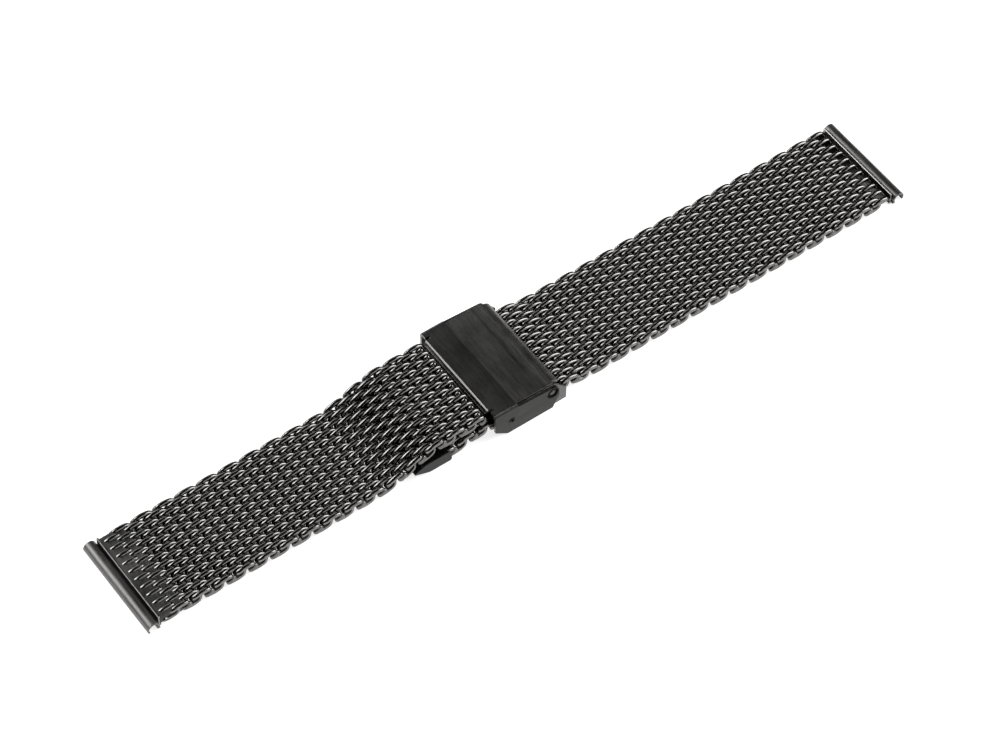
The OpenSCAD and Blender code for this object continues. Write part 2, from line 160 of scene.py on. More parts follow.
SHORT_ROWS = ROOT_ROWS + SHORT_SEGMENTS * SEGMENT_ROWS
LONG_ROWS = TAIL_ROWS + CORE_ROWS + LONG_SEGMENTS * SEGMENT_ROWS
SHORT_X = hinge_lines(-LIP_LEN - MOUTH_GAP - TURN_REACH, SHORT_ROWS, -ROW_PITCH, short_z)
LONG_X = hinge_lines(-TAIL_MESH, LONG_ROWS, ROW_PITCH, long_z)
ORIGIN_X = -(SHORT_X[-1] + LONG_X[-1]) / 2

# Materials

# Sockets of a Mix node that mixes colours
MIX_FACTOR, MIX_LOW, MIX_HIGH, MIX_RESULT = 0, 6, 7, 2
# The run of values that most of a noise lies in
NOISE_RUN = (0.3, 0.7)
# Repeats per millimetre of the broad clouds and the fine specks in the coating
CLOUD_SCALE = (0.11, 0.13, 0.12)
SPECK_SCALE = (2.6, 2.6, 2.6)
# Share of the reflectance in the dark and the light streaks, in the clouds, and where it is worn
STREAK_DARK, STREAK_LIGHT, CLOUD_SHADE, WORN_LIGHT = 0.72, 1.3, 0.86, 3.2
# Pointiness at which the wear of an edge starts and is full, and how specks break it up: their run,
# and the run of what they leave of the wear
WEAR_RUN = (0.505, 0.60)
WEAR_SPECKS = (0.35, 0.6, 0.45, 1.0)
# Share of the roughness in the streaks, and what the clouds add to it
ROUGH_STREAKS = (0.82, 1.15)
ROUGH_CLOUDS = (-0.03, 0.04)
# Strength of the bumps, and share of the specks in them
BUMP_STRENGTH, SPECK_BUMP = 0.5, 0.4
# Share by which the coating's red is raised and its blue lowered
WARMTH = 0.02


class Nodes:
    """A new node material, with short calls to add and join its nodes."""

    def __init__(self, name):
        self.material = bpy.data.materials.new(name)
        self.material.use_nodes = True
        self.tree = self.material.node_tree
        self.tree.nodes.clear()
        self.out = self.tree.nodes.new("ShaderNodeOutputMaterial")

    def add(self, kind, **values):
        node = self.tree.nodes.new(kind)
        for key, value in values.items():
            setattr(node, key, value)
        return node

    def join(self, source, target):
        self.tree.links.new(source, target)

    def feed(self, value, socket):
        """Set a socket to a number or a colour, or join an output to it."""
        if isinstance(value, (int, float)):
            socket.default_value = value
        elif isinstance(value, tuple):
            socket.default_value = (*value, 1)
        else:
            self.join(value, socket)

    def place(self, scale):
        """Texture coordinates of a piece, scaled in repeats per millimetre along x, y and z."""
        coordinate = self.add("ShaderNodeTexCoord")
        mapping = self.add("ShaderNodeMapping")
        mapping.inputs["Scale"].default_value = [s / MM for s in scale]
        self.join(coordinate.outputs["Object"], mapping.inputs["Vector"])
        return mapping.outputs["Vector"]

    def noise(self, scale, detail, roughness=0.6):
        node = self.add("ShaderNodeTexNoise")
        node.inputs["Scale"].default_value = 1.0
        node.inputs["Detail"].default_value = detail
        node.inputs["Roughness"].default_value = roughness
        self.join(self.place(scale), node.inputs["Vector"])
        return node.outputs["Fac"]

    def span(self, value, low, high, to_low, to_high):
        """Carry the run from low to high over to the run from to_low to to_high."""
        node = self.add("ShaderNodeMapRange")
        limits = {"From Min": low, "From Max": high, "To Min": to_low, "To Max": to_high}
        for key, number in limits.items():
            node.inputs[key].default_value = number
        self.join(value, node.inputs["Value"])
        return node.outputs["Result"]

    def mix(self, factor, low, high, blend="MIX"):
        node = self.add("ShaderNodeMix", data_type="RGBA", blend_type=blend)
        for socket, value in ((MIX_FACTOR, factor), (MIX_LOW, low), (MIX_HIGH, high)):
            self.feed(value, node.inputs[socket])
        return node.outputs[MIX_RESULT]

    def math(self, operation, a, b):
        node = self.add("ShaderNodeMath", operation=operation)
        self.feed(a, node.inputs[0])
        self.feed(b, node.inputs[1])
        return node.outputs[0]


def grey(level, warmth=0.0):
    return (level * (1 + warmth), level, level * (1 - warmth))


def coated_steel(name, level, roughness, brush, worn, bump):
    """Black vapour-coated steel. level is its reflectance, brush the repeats per millimetre of its
    brushing along x, y and z, worn how far the coating is rubbed lighter along edges, and bump the
    depth of its texture in millimetres."""
    n = Nodes(name)
    shader = n.add("ShaderNodeBsdfPrincipled")
    shader.inputs["Metallic"].default_value = 1.0
    shader.inputs["IOR"].default_value = 1.5
    streak = n.noise(brush, detail=6.0, roughness=0.7)
    cloud = n.noise(CLOUD_SCALE, detail=3.0)
    speck = n.noise(SPECK_SCALE, detail=2.0)
    dark, light = grey(level * STREAK_DARK, WARMTH), grey(level * STREAK_LIGHT, WARMTH)
    tone = n.mix(n.span(streak, *NOISE_RUN, 0.0, 1.0), dark, light)
    shade = n.mix(n.span(cloud, *NOISE_RUN, 0.0, 1.0), grey(CLOUD_SHADE), grey(1.0))
    coating = n.mix(1.0, tone, shade, "MULTIPLY")
    pointiness = n.add("ShaderNodeNewGeometry").outputs["Pointiness"]
    edge = n.math("MULTIPLY", n.span(pointiness, *WEAR_RUN, 0.0, worn), n.span(speck, *WEAR_SPECKS))
    n.join(n.mix(edge, coating, grey(level * WORN_LIGHT, WARMTH)), shader.inputs["Base Color"])
    low, high = [roughness * share for share in ROUGH_STREAKS]
    rough = n.math("ADD", n.span(streak, *NOISE_RUN, low, high),
                   n.span(cloud, *NOISE_RUN, *ROUGH_CLOUDS))
    n.join(rough, shader.inputs["Roughness"])
    relief = n.add("ShaderNodeBump")
    relief.inputs["Strength"].default_value = BUMP_STRENGTH
    relief.inputs["Distance"].default_value = bump * MM
    n.join(n.math("ADD", streak, n.math("MULTIPLY", speck, SPECK_BUMP)), relief.inputs["Height"])
    n.join(relief.outputs["Normal"], shader.inputs["Normal"])
    n.join(shader.outputs["BSDF"], n.out.inputs["Surface"])
    return n.material


# Name, level, roughness, brush, worn and bump
WIRE = coated_steel("coated_wire", 0.18, 0.19, (0.25, 2.4, 2.4), 0.10, 0.015)
WELD = coated_steel("coated_weld", 0.13, 0.30, (0.9, 1.4, 1.1), 0.20, 0.06)
SOLDER = coated_steel("coated_solder", 0.07, 0.50, (0.9, 0.8, 1.2), 0.1, 0.08)
FLAT = coated_steel("brushed_flat", 0.12, 0.36, (7.0, 0.12, 0.6), 0.18, 0.012)
# The side faces of the cover's folded sheet: a satin brushing, and a much lower level than the top
# that paints their shade
SATIN_SIDE_SHADE = coated_steel("satin_side_painted_shade", 0.034, 0.38, (0.3, 1.0, 5.0), 0.16, 0.010)
PANEL = coated_steel("satin_panel", 0.14, 0.40, (5.0, 0.25, 0.8), 0.22, 0.010)
BASE = coated_steel("satin_base", 0.12, 0.38, (0.5, 4.0, 3.0), 0.20, 0.012)
PIN = coated_steel("turned_pin", 0.07, 0.34, (3.0, 0.5, 3.0), 0.2, 0.012)
CAP = coated_steel("dark_cap", 0.035, 0.40, (2.0, 0.4, 1.6), 0.2, 0.012)
# A very dark copy of the coating that paints the shade in the sunk rings round the pin and in the
# dents
GROOVE_SHADE = coated_steel("pin_groove_painted_shade", 0.02, 0.50, (1.5, 0.6, 1.5), 0.2, 0.012)
LIP = coated_steel("cover_lip", 0.10, 0.34, (1.5, 0.4, 1.5), 0.2, 0.012)
BAR = coated_steel("satin_channel", 0.15, 0.43, (1.6, 0.14, 1.6), 0.20, 0.012)
# A brighter copy of the coating for the clips, which paints the highlight along their rims by the
# mesh
CLIP_HIGHLIGHT = coated_steel("clip_painted_highlight", 0.20, 0.32, (1.5, 0.6, 1.5), 0.3, 0.014)

# Mesh tools

# Points closer than this, in millimetres, become one, and so do flat faces that differ by less than
# this angle, in degrees
WELD_DISTANCE = 0.002
FLAT_ANGLE = 0.4


def placed(points):
    """Clasp coordinates in millimetres to the frame's metres."""
    points = np.asarray(points, float).reshape(-1, 3)
    return (points + (ORIGIN_X, 0, 0)) * MM


def solid(name, shell):
    """A bare object of one shell's points and faces."""
    points, faces = shell
    mesh = bpy.data.meshes.new(name)
    mesh.from_pydata(placed(points).tolist(), [], faces)
    obj = bpy.data.objects.new(name, mesh)
    bpy.context.scene.collection.objects.link(obj)
    return obj


def finish(obj, body, nodes, materials):
    """Give a piece its materials and its body, and hide the CAD nodes that it stands for."""
    for material in materials:
        obj.data.materials.append(material)
    for face in obj.data.polygons:
        face.use_smooth = True
    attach(obj, body)
    if nodes:
        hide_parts(*nodes)


def piece(name, parts, body, nodes, materials):
    """One object of several closed shells: parts are (points, faces, material index)."""
    points, faces, index = [], [], []
    for shell_points, shell_faces, material in parts:
        start = len(points)
        points += [tuple(p) for p in shell_points]
        faces += [tuple(start + i for i in face) for face in shell_faces]
        index += [material] * len(shell_faces)
    obj = solid(name, (points, faces))
    obj.data.polygons.foreach_set("material_index", index)
    finish(obj, body, nodes, materials)
    return obj


def boolean(base, other, operation):
    """base becomes its union, difference or intersection with other, which is used up."""
    modifier = base.modifiers.new("cut", "BOOLEAN")
    modifier.operation = operation
    modifier.solver = "EXACT"
    modifier.object = other
    bpy.context.view_layer.update()
    evaluated = base.evaluated_get(bpy.context.evaluated_depsgraph_get())
    result = bpy.data.meshes.new_from_object(evaluated)
    base.modifiers.clear()
    used = (base.data, other.data)
    base.data = result
    bpy.data.objects.remove(other)
    for mesh in used:
        bpy.data.meshes.remove(mesh)


def one_shell(name, shells, body, nodes, materials):
    """One object of closed shells that meet, joined to a single shell."""
    first, *others = shells
    obj = solid(name, first)
    for shell in others:
        boolean(obj, solid("part", shell), "UNION")
    finish(obj, body, nodes, materials)
    return obj


def round_edges(obj, width, segments=2, angle=28):
    """Weld the piece, join its flat faces, and round the edges that turn by more than the angle, in
    degrees, with a bevel of this width in millimetres."""
    weld = obj.modifiers.new("weld", "WELD")
    weld.merge_threshold = WELD_DISTANCE * MM
    flat = obj.modifiers.new("flat", "DECIMATE")
    flat.decimate_type = "DISSOLVE"
    flat.angle_limit = math.radians(FLAT_ANGLE)
    bevel = obj.modifiers.new("round", "BEVEL")
    bevel.width = width * MM
    bevel.segments = segments
    bevel.limit_method = "ANGLE"
    bevel.angle_limit = math.radians(angle)
    bevel.harden_normals = True


def prism(outline, low, high, axis="y"):
    """A closed outline of (x, z), or (y, z) for axis x, drawn out from low to high."""
    outline = [tuple(p) for p in outline]
    area = sum(a[0] * b[1] - b[0] * a[1] for a, b in zip(outline, outline[1:] + outline[:1]))
    if (area > 0) != (axis == "x"):
        outline = outline[::-1]
    n = len(outline)
    if axis == "y":
        points = [(x, y, z) for y in (low, high) for x, z in outline]
    else:
        points = [(x, y, z) for x in (low, high) for y, z in outline]
    faces = [tuple(range(n))[::-1], tuple(range(n, 2 * n))]
    faces += [(i, (i + 1) % n, n + (i + 1) % n, n + i) for i in range(n)]
    return points, faces


def oblong(x0, x1, z0, z1):
    """Corners of a rectangle in the side view."""
    return [(x0, z0), (x1, z0), (x1, z1), (x0, z1)]


def arc(x, z, r, start, stop, steps):
    """Points of an arc, its angles in degrees from +x towards +z."""
    angles = np.radians(np.linspace(start, stop, steps + 1))
    return [(x + r * math.cos(a), z + r * math.sin(a)) for a in angles]


def ring_faces(rings, sides):
    """Faces between rings of points, one ring after another, and over the first and the last."""
    faces = []
    for i in range(rings - 1):
        for j in range(sides):
            k = (j + 1) % sides
            faces.append((i * sides + j, i * sides + k, (i + 1) * sides + k, (i + 1) * sides + j))
    faces.append(tuple(range(sides))[::-1])
    faces.append(tuple((rings - 1) * sides + j for j in range(sides)))
    return faces


# The weave

# Diameter of the visible wire. It leaves no gap to its neighbours; the source leaves play round it
TIGHT_D = 1.0
# Half length and half height of a turn at the middle of the wire, and its shape: 2 is an ellipse
OVAL_X = 2.02
OVAL_Z = (MESH_T - TIGHT_D) / 2
OVAL_POWER = 2.1
# Share of each half turn over which the wire moves across the strap
SHIFT_SPAN = 0.6
TURNS = 11
# How far a coil runs on past its first and last half turn, in half turns
END_TURN = 0.28
# Points in a whole turn, and sides of the wire
TURN_STEPS = 26
WIRE_SIDES = 12
EDGE_Y = (TURNS - 1) / 2 * TURN_PITCH
# Height of a pressed coil, and length of the outer half of a strap's last coil, as shares
END_PRESS = 0.92
END_SQUEEZE = (TURN_REACH + ROW_PITCH / 2) / (OVAL_X + TIGHT_D / 2)
# The weld beads: size, place from the middle of the edge turn, slant in degrees, rings, sides, and
# their shape, where 2 is an ellipsoid
BEAD_SIZE = (2.2, 1.0, 1.45)
BEAD_X, BEAD_OUT, BEAD_Z = 1.3, 0.26, 0.08
BEAD_SLANT = -24
BEAD_RINGS, BEAD_SIDES, BEAD_POWER = 8, 14, 2.4
# The stubs in the root coil: where they end along the strap, and their least number of points
STUB_CUT = -1.0
STUB_POINTS = 4
# The solder at the hook's plate: its length, and its depth below the hook's top
JOINT_LEN, JOINT_DEPTH = 0.7, 0.15
# Depth of the solder below the crests of the last coils of the short and the long strap
SHORT_FILL, LONG_FILL = 0.34, 1.1
# How far the solder stops before the edges, and the height, turn and points of its waves
FILL_INSET = 0.7
FILL_WAVE, WAVE_TURN, FILL_POINTS = 0.05, 2.4, 17
# Places in the materials of a weave
OF_WIRE, OF_WELD, OF_SOLDER = range(3)


def coil_path(inner):
    """Centre line of one whole coil, from the far edge of the strap to the near one: a flattened
    spiral that moves half a pitch towards the near edge in each of its bends. An outer coil starts
    and ends on top, an inner coil underneath."""
    halves = 2 * (TURNS - 1)
    u = np.linspace(-END_TURN, halves + END_TURN, int((halves + 2 * END_TURN) * TURN_STEPS / 2))
    angle = (-np.pi / 2 if inner else np.pi / 2) - np.pi * u
    cos, sin = np.cos(angle), np.sin(angle)
    x = OVAL_X * np.sign(cos) * np.abs(cos) ** (2 / OVAL_POWER)
    z = OVAL_Z * np.sign(sin) * np.abs(sin) ** (2 / OVAL_POWER)
    y = np.full_like(u, EDGE_Y)
    for half in range(halves):
        v = np.clip((u - half - 0.5) / SHIFT_SPAN + 0.5, 0, 1)
        y -= TURN_PITCH / 2 * v * v * (3 - 2 * v)
    return np.stack([x, y, z], 1)


def tube(path):
    """The wire along a path that never runs straight across the strap."""
    along = np.gradient(path, axis=0)
    along /= np.linalg.norm(along, axis=1)[:, None]
    up = np.cross((0, 1, 0), along)
    up /= np.linalg.norm(up, axis=1)[:, None]
    out = np.cross(along, up)
    turn = np.linspace(0, 2 * np.pi, WIRE_SIDES, endpoint=False)
    spread = np.cos(turn)[None, :, None] * up[:, None] + np.sin(turn)[None, :, None] * out[:, None]
    rings = path[:, None] + TIGHT_D / 2 * spread
    return rings.reshape(-1, 3), ring_faces(len(path), WIRE_SIDES)


def bead(centre):
    """A rounded bead of weld metal between two poles, slanted in the side view."""
    tilt = math.radians(BEAD_SLANT)
    half_x, half_y, half_z = [s / 2 for s in BEAD_SIZE]

    def power(value):
        return math.copysign(abs(value) ** (2 / BEAD_POWER), value)

    def place(v, u):
        x = half_x * power(math.cos(v)) * power(math.cos(u))
        z = half_z * power(math.cos(v)) * power(math.sin(u))
        return (centre[0] + x * math.cos(tilt) + z * math.sin(tilt),
                centre[1] + half_y * power(math.sin(v)),
                centre[2] - x * math.sin(tilt) + z * math.cos(tilt))

    points = [(centre[0], centre[1] - half_y, centre[2])]
    for i in range(1, BEAD_RINGS):
        v = math.pi * i / BEAD_RINGS - math.pi / 2
        points += [place(v, 2 * math.pi * j / BEAD_SIDES) for j in range(BEAD_SIDES)]
    points.append((centre[0], centre[1] + half_y, centre[2]))
    last = len(points) - 1
    faces = []
    for j in range(BEAD_SIDES):
        k = (j + 1) % BEAD_SIDES
        faces.append((0, 1 + j, 1 + k))
        for ring in range(1, last - BEAD_SIDES, BEAD_SIDES):
            faces.append((ring + j, ring + BEAD_SIDES + j, ring + BEAD_SIDES + k, ring + k))
        faces.append((last - BEAD_SIDES + j, last, last - BEAD_SIDES + k))
    return points, faces


COILS = [tube(coil_path(inner)) for inner in (False, True)]


def coil_between(points, x0, x1, height, pressed):
    """Put a coil's points between two hinge lines."""
    z0, z1 = height(x0), height(x1)
    tilt = math.atan2(z1 - z0, x1 - x0)
    points = np.array(points)
    if pressed:
        points[:, 2] *= END_PRESS
    x = points[:, 0] * math.cos(tilt) - points[:, 2] * math.sin(tilt) + (x0 + x1) / 2
    z = points[:, 0] * math.sin(tilt) + points[:, 2] * math.cos(tilt) + (z0 + z1) / 2
    return np.stack([x, points[:, 1], z], 1)


def welds(far, near):
    """The beads on an outer coil that close its two edges onto the inner coils beside it."""
    sides = [side for side, wanted in ((1, far), (-1, near)) if wanted]
    return [bead((-side * BEAD_X, side * (EDGE_Y + BEAD_OUT), side * BEAD_Z)) for side in sides]


def stubs(x, height):
    """Left bends of the coil that joins the root coil to the hook, cut off behind the crests."""
    path = coil_path(True)
    parts = []
    shown = path[:, 0] < STUB_CUT
    edges = np.flatnonzero(np.diff(shown.astype(int))) + 1
    for start, stop in zip([0, *edges], [*edges, len(path)]):
        if shown[start] and stop - start >= STUB_POINTS:
            points, faces = tube(path[start:stop])
            parts.append((coil_between(points, x, x + ROW_PITCH, height, False), faces, OF_WIRE))
    return parts


def hook_solder():
    """The solder that joins the root coil to the hook's plate, seen between the stubs."""
    front = -LIP_LEN - MOUTH_GAP
    side = oblong(front - JOINT_LEN, front, HOOK_TOP - HOOK_T, HOOK_TOP - JOINT_DEPTH)
    return (*prism(side, -HOOK_W / 2, HOOK_W / 2), OF_SOLDER)


def squeeze(points, left_end, right_end):
    """Shorten the outer half of the last coil of a strap, which has no coil beyond it."""
    points = np.array(points)
    if left_end:
        points[:, 0] = np.where(points[:, 0] < 0, points[:, 0] * END_SQUEEZE, points[:, 0])
    if right_end:
        points[:, 0] = np.where(points[:, 0] > 0, points[:, 0] * END_SQUEEZE, points[:, 0])
    return points


def weave(name, lines, height, first, last, pressed, body, node, extra=()):
    """Coils first to last of a strap. Their hinge lines may run either way along x."""
    final = len(lines) - 2
    leftmost, rightmost = (final, 0) if lines[0] > lines[-1] else (0, final)
    parts = []
    for k in range(first, last + 1):
        x0, x1 = sorted((lines[k], lines[k + 1]))
        left_end, right_end = k == leftmost, k == rightmost
        inner = k % 2 == 1
        shells = [(*COILS[inner], OF_WIRE)]
        if not inner:
            beads = welds(not left_end, not right_end or node == "hook_end_mesh")
            shells += [(*shell, OF_WELD) for shell in beads]
        for points, faces, material in shells:
            points = squeeze(points, left_end, right_end)
            parts.append((coil_between(points, x0, x1, height, k in pressed), faces, material))
    parts += extra
    return piece(name, parts, body, [node], [WIRE, WELD, SOLDER])


def filler(lines, height, first, last, depth):
    """Solder that fills the last coils up to a depth under the crests of their wires."""
    outer = lines[last + 1] + math.copysign(TURN_REACH - SOLDER_GAP, lines[last + 1] - lines[first])
    xs = np.linspace(lines[first], outer, FILL_POINTS)
    half = END_PRESS * (MESH_T / 2 - depth)
    wave = FILL_WAVE * np.cos(np.arange(FILL_POINTS) * WAVE_TURN)
    outline = [(x, height(x) + half + w) for x, w in zip(xs, wave)]
    outline += [(x, height(x) - half) for x in xs[::-1]]
    return (*prism(outline, -MESH_W / 2 + FILL_INSET, MESH_W / 2 - FILL_INSET), OF_SOLDER)


def bending_lengths(strap, count, lines, height, pressed, depth):
    """The lengths of a strap that bend on each other, with solder in the last coils of the last."""
    rows = len(lines) - 1
    for n in range(1, count + 1):
        first = rows - (count - n + 1) * SEGMENT_ROWS
        extra = [filler(lines, height, rows - END_ROWS, rows - 1, depth)] if n == count else []
        weave(f"{strap}_weave_{n}", lines, height, first, first + SEGMENT_ROWS - 1, pressed,
              f"{strap}_{n}", f"{strap}_mesh_{n}", extra)


def build_straps():
    pressed = set(range(SHORT_ROWS - END_ROWS, SHORT_ROWS))
    weave("hook_end_weave", SHORT_X, short_z, 0, ROOT_ROWS - 1, pressed, "hook", "hook_end_mesh",
          [hook_solder(), *stubs(SHORT_X[0], short_z)])
    bending_lengths("short", SHORT_SEGMENTS, SHORT_X, short_z, pressed, SHORT_FILL)
    pressed = set(range(CAP_ROWS)) | set(range(LONG_ROWS - END_ROWS, LONG_ROWS))
    weave("tail_weave", LONG_X, long_z, 0, TAIL_ROWS - 1, pressed, "tail", "tail_mesh")
    weave("core_weave", LONG_X, long_z, TAIL_ROWS, TAIL_ROWS + CORE_ROWS - 1, pressed, "core",
          "core_mesh")
    bending_lengths("long", LONG_SEGMENTS, LONG_X, long_z, pressed, LONG_FILL)


# The clasp

# Room for shapes that cut to reach past what they cut
CUT_ROOM = 1.0
# Outer and inner radius of the fold between the cover's flat part and its arms
FOLD_OUT_R, FOLD_IN_R = 0.62, 0.16
# Fillet of the arms' top edge behind the flat part, and the height of its centre over that edge
FILLET_R, FILLET_RISE = 0.45, 0.42
# The lip: how far it reaches into the cover, where its bend starts, the drops of the bend's two
# corners, how far the first lies behind the second, and the size of the slanted lower corner
LIP_ROOT, LIP_BEND = 0.3, 0.1
LIP_SHOULDER, LIP_NOSE = 0.16, 0.22
LIP_ROUND = 0.02
LIP_FOOT_X, LIP_FOOT_Z = 0.12, 0.1
# The sunk ring round the pin: radius at its mouth, under its bevel and on its floor, its depth and
# that of its bevel, and how far the cutting shape flares outside the arm
SINK_R, SINK_NECK_R, SINK_FLOOR_R = 1.34, 1.2, 1.14
SINK_DEEP, SINK_BEVEL = 0.4, 0.12
FLARE = 0.3
# The ball that presses a dent: its radius, how far its centre lies outside the arm, and the first
# angle, last angle and number of its points, in radians from its axis
DENT_R, DENT_OUT = 0.78, 0.3
DENT_ARC = (0.05, 1.57, 9)
TURNED_SIDES = 48
# Limits that tell the cover's faces apart: margin, cosines of level and side faces, depth of the
# flat part's edge, and how much of a ring or dent takes the painted shade of a groove
SKIN, LEVEL, SIDEWAYS, EDGE_DEPTH = 0.02, 0.97, 0.5, 0.3
RING_EDGE, DENT_SHARE = 0.06, 0.6
COVER_MATERIALS = [FLAT, SATIN_SIDE_SHADE, LIP, GROOVE_SHADE]
# The panel: where its rims over the side walls end on the roll, how far the rims stay inside the
# arms, and the shallow valley before the roll
RIM_END, RIM_INSET = 83, 0.2
VALLEY_BACK, VALLEY_HALF, VALLEY_DEEP, VALLEY_POINTS = 1.4, 1.3, 0.07, 17


def turned(x, z, side, profile):
    """A solid of revolution about a line across the strap; the profile is of (y, radius)."""
    angles = np.linspace(0, 2 * math.pi, TURNED_SIDES, endpoint=False)
    points = [(x + r * math.cos(a), side * y, z + r * math.sin(a))
              for y, r in profile for a in angles]
    faces = ring_faces(len(profile), TURNED_SIDES)
    return points, faces if side < 0 else [face[::-1] for face in faces]


def arm_outline():
    """Side view of the cover with the arms' ears round the pin. It reaches past the sheet's top and
    front, because it only cuts."""
    top, under = COVER_H + CUT_ROOM / 2, COVER_H - COVER_T
    front = -CUT_ROOM / 2
    outline = [(front, top), (front, ARM_LIFT + CORNER_H - front * CORNER_H / CORNER_LEN)]
    outline += [(CORNER_LEN, ARM_LIFT), (PIN_SET, ARM_LIFT), (PIN_SET + EAR_R, PIN_Z - EAR_R)]
    outline += arc(PIN_SET, PIN_Z, EAR_R, 0, 90, 12)
    slope = (under - (PIN_Z + EAR_R)) / (PIN_SET - FLAT_LEN)
    outline += [(FLAT_LEN + 2 * FILLET_R, under - 2 * FILLET_R * slope)]
    outline += arc(FLAT_LEN + FILLET_R, under + FILLET_RISE, FILLET_R, 270, 180, 6)
    return outline + [(FLAT_LEN, top)]


def lip_outline():
    """Side view of the lip, which bends down in front of the cover."""
    bottom = COVER_H - COVER_T - LIP_DROP
    return [(LIP_ROOT, COVER_H), (-LIP_BEND, COVER_H),
            (-LIP_LEN + LIP_ROUND, COVER_H - LIP_SHOULDER), (-LIP_LEN, COVER_H - LIP_NOSE),
            (-LIP_LEN, bottom + LIP_FOOT_Z), (-LIP_LEN + LIP_FOOT_X, bottom), (LIP_ROOT, bottom)]


def cover_solid():
    """The folded sheet: a U section over the whole width, cut to the side outline of the arms, with
    its lip and notches, and with a sunk ring and a dent in each arm."""
    low = ARM_LIFT - CUT_ROOM
    outer = [(ARM_OUT, low)]
    outer += arc(ARM_OUT - FOLD_OUT_R, COVER_H - FOLD_OUT_R, FOLD_OUT_R, 0, 90, 8)
    inner = [(ARM_IN, low)]
    inner += arc(ARM_IN - FOLD_IN_R, COVER_H - COVER_T - FOLD_IN_R, FOLD_IN_R, 0, 90, 4)
    section = outer + [(-y, z) for y, z in outer[::-1]] + [(-y, z) for y, z in inner] + inner[::-1]
    cover = solid("cover_shell", prism(section, 0.0, PIN_SET + EAR_R + CUT_ROOM / 2, axis="x"))
    sides = prism(arm_outline(), -ARM_OUT - CUT_ROOM, ARM_OUT + CUT_ROOM)
    boolean(cover, solid("side", sides), "INTERSECT")
    boolean(cover, solid("lip", prism(lip_outline(), -LIP_W / 2, LIP_W / 2)), "UNION")
    bore, floor = PIN_R + RUN_GAP, ARM_OUT - SINK_DEEP
    ring = [(ARM_IN - CUT_ROOM / 2, bore), (floor, bore), (floor, SINK_FLOOR_R),
            (ARM_OUT - SINK_BEVEL, SINK_NECK_R), (ARM_OUT, SINK_R),
            (ARM_OUT + FLARE, SINK_R + FLARE)]
    dent = [(ARM_OUT + DENT_OUT - DENT_R * math.cos(a), DENT_R * math.sin(a))
            for a in np.linspace(*DENT_ARC)]
    notch = oblong(-LIP_LEN - CUT_ROOM, NOTCH_LEN, COVER_H - 2 * CUT_ROOM, COVER_H + CUT_ROOM)
    for side in (-1, 1):
        middle = side * (LIP_W + NOTCH_W) / 2
        cut = prism(notch, middle - NOTCH_W / 2, middle + NOTCH_W / 2)
        boolean(cover, solid("notch", cut), "DIFFERENCE")
        boolean(cover, solid("hole", turned(PIN_SET, PIN_Z, side, ring)), "DIFFERENCE")
        boolean(cover, solid("dimple", turned(DIMPLE_SET, DIMPLE_Z, side, dent)), "DIFFERENCE")
    return cover


def cover_material(face):
    """Which material a face of the cover takes: painted shade in the rings and dents, the lip, the
    satin sides with painted shade, and the top.
    """
    x, y, z = [c / MM for c in face.center]
    x -= ORIGIN_X
    in_ring = math.hypot(x - PIN_SET, z - PIN_Z) < SINK_R - RING_EDGE
    in_dent = math.hypot(x - DIMPLE_SET, z - DIMPLE_Z) < DENT_R * DENT_SHARE
    # Faces deep in the sunk rings and the dents take painted shade
    if ARM_IN + SKIN < abs(y) < ARM_OUT - SKIN and (in_ring or in_dent):
        return GROOVE_SHADE
    if x < -SKIN and face.normal.z < LEVEL:
        return LIP
    # Side faces and the faces below the top take the painted shade of the sides
    if abs(face.normal.y) > SIDEWAYS or z < COVER_H - COVER_T - EDGE_DEPTH:
        return SATIN_SIDE_SHADE
    return FLAT


def build_cover():
    cover = cover_solid()
    for face in cover.data.polygons:
        face.material_index = COVER_MATERIALS.index(cover_material(face))
    finish(cover, "cover", ["clasp_cover"], COVER_MATERIALS)
    round_edges(cover, 0.07)
    bed = prism(oblong(FLAT_LEN - BED_LAP, PIN_SET, BED_Z, BED_TOP), -PANEL_HALF, PANEL_HALF)
    round_edges(one_shell("cover_bed", [bed], "cover", [], [FLAT]), 0.04)


def panel_outline(roll_end, inner):
    """Side view of the panel: a flat field, a shallow valley and the roll over the hinge."""
    middle = PIN_SET - VALLEY_BACK
    points = [(FLAT_LEN, BED_TOP), (FLAT_LEN, PANEL_TOP)]
    for x in np.linspace(middle - VALLEY_HALF, middle + VALLEY_HALF, VALLEY_POINTS):
        dip = 0.5 + 0.5 * math.cos(math.pi * (x - middle) / VALLEY_HALF)
        points.append((x, PANEL_TOP - VALLEY_DEEP * dip))
    points += arc(PIN_SET, PIN_Z, PANEL_TOP - PIN_Z, 90, roll_end, 20)
    return points + arc(PIN_SET, PIN_Z, inner, roll_end, 90, 14) + [(PIN_SET, BED_TOP)]


def build_panel():
    """The bare panel, which rolls on between the side walls, and its rims over them."""
    shells = [prism(panel_outline(ROLL_END, BED_Z - PIN_Z), -PANEL_HALF, PANEL_HALF)]
    for side in (-1, 1):
        low, high = sorted((side * PANEL_HALF, side * (ARM_IN - RIM_INSET)))
        shells.append(prism(panel_outline(RIM_END, BED_TOP - PIN_Z), low, high))
    panel = one_shell("bare_panel", shells, "cover", ["cover_panel"], [PANEL])
    round_edges(panel, 0.09, segments=3, angle=34)


def dress(node, material, width):
    """Keep a CAD node, round its edges and give it its finish."""
    obj = bpy.data.objects[node]
    obj.data.materials.clear()
    obj.data.materials.append(material)
    for face in obj.data.polygons:
        face.use_smooth = True
    round_edges(obj, width)


def build_clasp():
    build_cover()
    build_panel()
    dress("clasp_base", BASE, 0.06)
    dress("strap_hook", BASE, 0.06)
    dress("lock_flap", BASE, 0.05)
    dress("hook_bar", PIN, 0.05)
    dress("hinge_pin", PIN, 0.06)
    dress("lock_flap_pin", PIN, 0.03)


# Tail and ends

